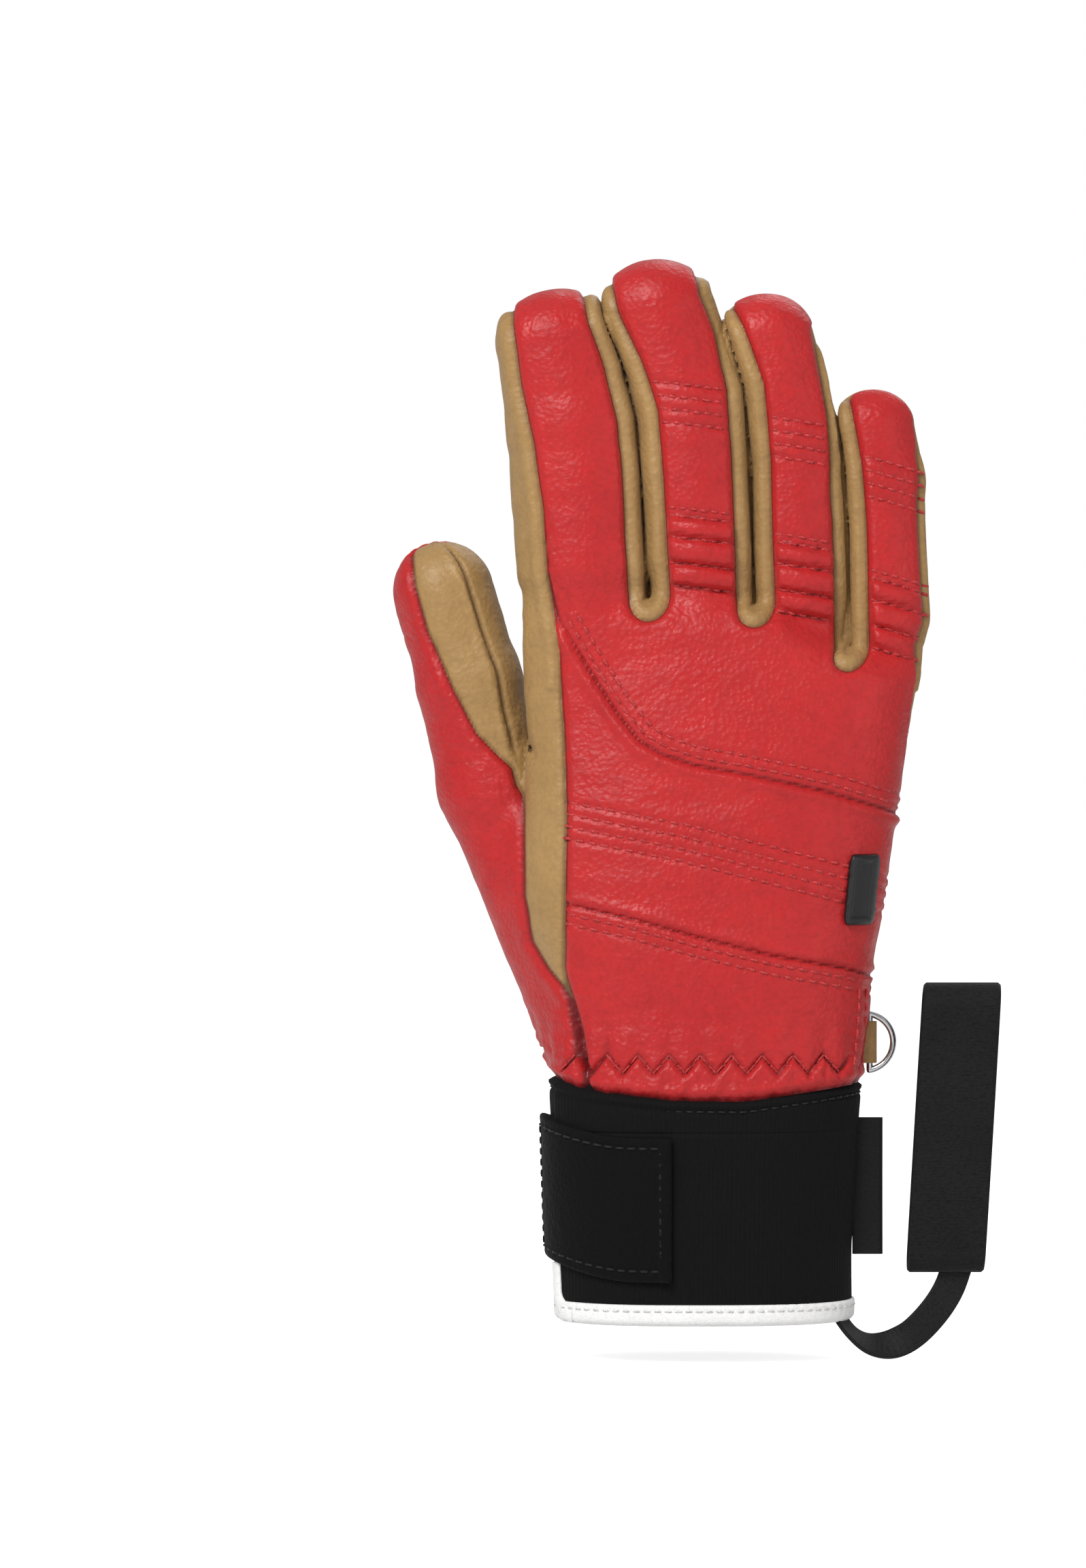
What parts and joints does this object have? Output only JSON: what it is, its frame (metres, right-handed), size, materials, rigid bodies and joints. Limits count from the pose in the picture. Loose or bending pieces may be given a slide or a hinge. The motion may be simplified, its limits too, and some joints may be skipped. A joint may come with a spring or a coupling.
{
  "type": "ski glove",
  "caption": "Right-hand five-finger leather ski glove with lined fingers that bend, a ribbed cuff, a closure strap with a pull tab, a D-ring and a wrist leash.",
  "frame": {"origin": "centre of the cuff opening, in the plane of its lower edge", "axes": "+Z from the cuff to the fingertips, -Y is the back of the hand, +Y the palm, and the thumb is at -X"},
  "size_m": [0.1598, 0.0574, 0.2897],
  "materials": {
    "red_leather": "grained, soft sheen",
    "tan_leather": "grained, soft sheen",
    "lining": "brushed pile",
    "elastic": "ribbed elastic webbing",
    "neoprene": "ribbed knit faced neoprene",
    "white_binding": "fine ribbed tape",
    "strap_fabric": "brushed loop fabric",
    "hook_tape": "moulded hooks",
    "black_webbing": "cross ribbed ribbon",
    "black_plastic": "moulded, satin",
    "chrome": "polished"
  },
  "bodies": {
    "hand": {"back_upper_panel": "red_leather", "back_middle_panel": "red_leather", "back_lower_panel": "red_leather", "thumb_side_gusset": "tan_leather", "thumb_root_outer": "red_leather", "thumb_root_saddle": "tan_leather", "palm_upper_panel": "tan_leather", "palm_panel": "tan_leather", "hand_lining": "lining", "wrist_elastic": "elastic", "badge": "black_plastic", "d_ring_tab": "tan_leather"},
    "index_base": {"index_base_back": "red_leather", "index_base_sides": "tan_leather", "index_base_palm": "tan_leather", "index_base_lining": "lining"},
    "index_tip": {"index_tip_back": "red_leather", "index_tip_sides": "tan_leather", "index_tip_palm": "tan_leather", "index_tip_lining": "lining"},
    "middle_base": {"middle_base_back": "red_leather", "middle_base_sides": "tan_leather", "middle_base_palm": "tan_leather", "middle_base_lining": "lining"},
    "middle_tip": {"middle_tip_back": "red_leather", "middle_tip_sides": "tan_leather", "middle_tip_palm": "tan_leather", "middle_tip_lining": "lining"},
    "ring_base": {"ring_base_back": "red_leather", "ring_base_sides": "tan_leather", "ring_base_palm": "tan_leather", "ring_base_lining": "lining"},
    "ring_tip": {"ring_tip_back": "red_leather", "ring_tip_sides": "tan_leather", "ring_tip_palm": "tan_leather", "ring_tip_lining": "lining"},
    "little_base": {"little_base_back": "red_leather", "little_base_sides": "tan_leather", "little_base_palm": "tan_leather", "little_base_lining": "lining"},
    "little_tip": {"little_tip_back": "red_leather", "little_tip_sides": "tan_leather", "little_tip_palm": "tan_leather", "little_tip_lining": "lining"},
    "thumb_base": {"thumb_base_outer": "red_leather", "thumb_base_inner": "tan_leather", "thumb_base_lining": "lining"},
    "thumb_tip": {"thumb_tip_outer": "red_leather", "thumb_tip_inner": "tan_leather", "thumb_tip_lining": "lining"},
    "cuff": {"cuff": "neoprene", "cuff_binding": "white_binding", "strap_patch": "strap_fabric", "hook_pad": "hook_tape", "side_label": "strap_fabric"},
    "strap": {"strap_band": "strap_fabric", "pull_tab": "tan_leather"},
    "d_ring": {"d_ring": "chrome"},
    "leash_ribbon": {"leash_ribbon": "black_webbing"},
    "leash_loop": {"leash_loop": "elastic"}
  },
  "joints": [
    {"name": "index_knuckle", "type": "hinge", "parent": "hand", "child": "index_base", "pos_m": [-0.0332, 0, 0.198], "axis": [-0.999, 0, -0.0445], "range_deg": [0, 60]},
    {"name": "index_middle_joint", "type": "hinge", "parent": "index_base", "child": "index_tip", "pos_m": [-0.0365, 0, 0.235], "axis": [-0.9897, 0, -0.1431], "range_deg": [0, 70]},
    {"name": "middle_knuckle", "type": "hinge", "parent": "hand", "child": "middle_base", "pos_m": [-0.0026, 0, 0.2015], "axis": [-0.9994, 0, -0.0337], "range_deg": [0, 60]},
    {"name": "middle_middle_joint", "type": "hinge", "parent": "middle_base", "child": "middle_tip", "pos_m": [-0.0052, 0, 0.24], "axis": [-0.982, 0, -0.1888], "range_deg": [0, 70]},
    {"name": "ring_knuckle", "type": "hinge", "parent": "hand", "child": "ring_base", "pos_m": [0.0244, 0.002, 0.1945], "axis": [-0.9998, 0, -0.0192], "range_deg": [0, 60]},
    {"name": "ring_middle_joint", "type": "hinge", "parent": "ring_base", "child": "ring_tip", "pos_m": [0.023, 0.002, 0.231], "axis": [-0.99, 0, -0.1412], "range_deg": [0, 70]},
    {"name": "little_knuckle", "type": "hinge", "parent": "hand", "child": "little_base", "pos_m": [0.0473, 0.004, 0.185], "axis": [-0.9999, 0, -0.0139], "range_deg": [0, 60]},
    {"name": "little_middle_joint", "type": "hinge", "parent": "little_base", "child": "little_tip", "pos_m": [0.0463, 0.004, 0.221], "axis": [-0.996, 0, -0.0898], "range_deg": [0, 70]},
    {"name": "thumb_root_joint", "type": "hinge", "parent": "hand", "child": "thumb_base", "pos_m": [-0.0555, 0.014, 0.14], "axis": [-0.951, 0, -0.3091], "range_deg": [0, 30]},
    {"name": "thumb_tip_joint", "type": "hinge", "parent": "thumb_base", "child": "thumb_tip", "pos_m": [-0.062, 0.014, 0.168], "axis": [-0.966, 0, -0.2587], "range_deg": [0, 45]},
    {"name": "wrist_bend", "type": "hinge", "parent": "hand", "child": "cuff", "pos_m": [0, 0, 0.062], "axis": [1, 0, 0], "range_deg": [-12, 12]},
    {"name": "strap_opening", "type": "hinge", "parent": "cuff", "child": "strap", "pos_m": [-0.0434, -0.002, 0.03], "axis": [0, 0, 1], "range_deg": [0, 110]},
    {"name": "d_ring_swing", "type": "hinge", "parent": "hand", "child": "d_ring", "pos_m": [0.0437, 0, 0.0727], "axis": [0, 0, 1], "range_deg": [-80, 80]},
    {"name": "leash_ribbon_swing", "type": "hinge", "parent": "cuff", "child": "leash_ribbon", "pos_m": [0.036, -0.0086, -0.0044], "axis": [0, 1, 0], "range_deg": [0, 60]},
    {"name": "leash_loop_swing", "type": "hinge", "parent": "leash_ribbon", "child": "leash_loop", "pos_m": [0.065, -0.0086, 0.009], "axis": [0, 1, 0], "range_deg": [0, 120]}
  ]
}
